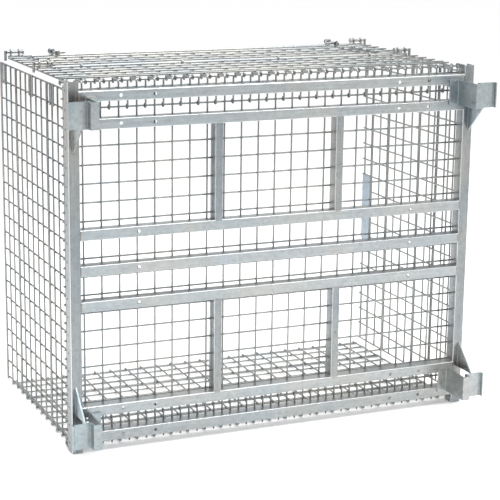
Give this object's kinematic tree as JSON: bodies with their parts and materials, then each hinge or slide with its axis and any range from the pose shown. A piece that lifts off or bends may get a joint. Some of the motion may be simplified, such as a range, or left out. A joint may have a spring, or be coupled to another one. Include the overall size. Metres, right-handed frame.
{
  "type": "wire mesh container",
  "caption": "Collapsible galvanised wire mesh container with folding walls, a drop gate, channel base and stacking feet, lying on its rear wall",
  "frame": {"origin": "Bottom centre of the bounding box of the container as it lies on its rear long wall, at zero height, in the pose of the picture.", "axes": "+X runs along the long side of the base, from left to right. +Y runs from the feet to the open rim, so it points up when the container stands on its feet. +Z runs along the short side of the base, from the rear wall on the floor to the front wall with its drop gate on top. At rest all walls are unfolded and the gate is shut."},
  "size_m": [1.248, 0.7508, 1.0162],
  "materials": {
    "zinc_frame": "bright zinc plated pressed steel with a light spangle",
    "zinc_foot": "zinc plated steel plate with a bluish passivated tint",
    "zinc_mesh": "zinc plated spot-welded wire",
    "zinc_rod": "zinc plated drawn bar",
    "zinc_ring": "zinc plated bent wire rings",
    "zinc_plate": "zinc plated thin sheet"
  },
  "bodies": {
    "base": {"base_mesh": "zinc_mesh", "foot_front_left": "zinc_foot", "foot_front_right": "zinc_foot", "foot_rear_left": "zinc_foot", "foot_rear_right": "zinc_foot", "gusset_front_left": "zinc_foot", "gusset_front_right": "zinc_foot", "gusset_rear_left": "zinc_foot", "gusset_rear_right": "zinc_foot", "pegs_front": "zinc_rod", "pegs_left": "zinc_rod", "pegs_rear": "zinc_rod", "pegs_right": "zinc_rod", "pin_front": "zinc_rod", "pin_left": "zinc_rod", "pin_rear": "zinc_rod", "pin_right": "zinc_rod", "rail_front_inner": "zinc_frame", "rail_front_outer": "zinc_frame", "rail_middle": "zinc_frame", "rail_middle_front": "zinc_frame", "rail_middle_rear": "zinc_frame", "rail_rear_inner": "zinc_frame", "rail_rear_outer": "zinc_frame", "side_channel_left": "zinc_frame", "side_channel_right": "zinc_frame", "strut_front_left": "zinc_frame", "strut_front_right": "zinc_frame", "strut_rear_left": "zinc_frame", "strut_rear_right": "zinc_frame"},
    "left_wall": {"left_keepers": "zinc_mesh", "left_mesh": "zinc_mesh", "left_rim": "zinc_rod", "left_rings": "zinc_ring"},
    "right_wall": {"label_plate": "zinc_plate", "right_keepers": "zinc_mesh", "right_mesh": "zinc_mesh", "right_rim": "zinc_rod", "right_rings": "zinc_ring"},
    "rear_wall": {"rear_mesh": "zinc_mesh", "rear_rim": "zinc_rod", "rear_rings": "zinc_ring"},
    "front_wall": {"front_lower_mesh": "zinc_mesh", "front_rim": "zinc_rod", "gate_sill": "zinc_rod", "front_rings": "zinc_ring", "hook_loops": "zinc_ring", "bolt_keepers": "zinc_ring", "front_strip_left": "zinc_mesh", "front_strip_right": "zinc_mesh"},
    "gate": {"gate_mesh": "zinc_mesh", "gate_bars": "zinc_rod", "gate_rings": "zinc_ring", "gate_loops": "zinc_ring"},
    "corner_hook_mid_left": {"hook_mid_left": "zinc_rod"},
    "corner_hook_mid_right": {"hook_mid_right": "zinc_rod"},
    "corner_hook_rim_left": {"hook_rim_left": "zinc_rod"},
    "corner_hook_rim_right": {"hook_rim_right": "zinc_rod"},
    "gate_bolt_left": {"bolt_left": "zinc_rod"},
    "gate_bolt_right": {"bolt_right": "zinc_rod"}
  },
  "joints": [
    {"name": "left_wall_fold", "type": "hinge", "parent": "base", "child": "left_wall", "pos_m": [-0.594, -0.21943, 0.5], "axis": [0, 0, -1], "range_deg": [0, 90]},
    {"name": "right_wall_fold", "type": "hinge", "parent": "base", "child": "right_wall", "pos_m": [0.594, -0.21943, 0.5], "axis": [0, 0, 1], "range_deg": [0, 90]},
    {"name": "rear_wall_fold", "type": "hinge", "parent": "base", "child": "rear_wall", "pos_m": [0, -0.20542, 0.009], "axis": [1, 0, 0], "range_deg": [0, 90]},
    {"name": "front_wall_fold", "type": "hinge", "parent": "base", "child": "front_wall", "pos_m": [0, -0.19143, 0.989], "axis": [-1, 0, 0], "range_deg": [0, 90]},
    {"name": "gate_open", "type": "hinge", "parent": "front_wall", "child": "gate", "pos_m": [0, 0.07658, 0.99475], "axis": [1, 0, 0], "range_deg": [0, 165]},
    {"name": "corner_hook_mid_left_turn", "type": "hinge", "parent": "front_wall", "child": "corner_hook_mid_left", "pos_m": [-0.558, 0.07658, 1.0071], "axis": [1, 0, 0], "range_deg": [0, 90]},
    {"name": "corner_hook_mid_right_turn", "type": "hinge", "parent": "front_wall", "child": "corner_hook_mid_right", "pos_m": [0.558, 0.07658, 1.0071], "axis": [1, 0, 0], "range_deg": [0, 90]},
    {"name": "corner_hook_rim_left_turn", "type": "hinge", "parent": "front_wall", "child": "corner_hook_rim_left", "pos_m": [-0.558, 0.36633, 1.0071], "axis": [1, 0, 0], "range_deg": [0, 90]},
    {"name": "corner_hook_rim_right_turn", "type": "hinge", "parent": "front_wall", "child": "corner_hook_rim_right", "pos_m": [0.558, 0.36633, 1.0071], "axis": [1, 0, 0], "range_deg": [0, 90]},
    {"name": "gate_bolt_left_slide", "type": "slide", "parent": "gate", "child": "gate_bolt_left", "axis": [0, 1, 0], "range_m": [0, 0.018]},
    {"name": "gate_bolt_right_slide", "type": "slide", "parent": "gate", "child": "gate_bolt_right", "axis": [0, 1, 0], "range_m": [0, 0.018]}
  ]
}
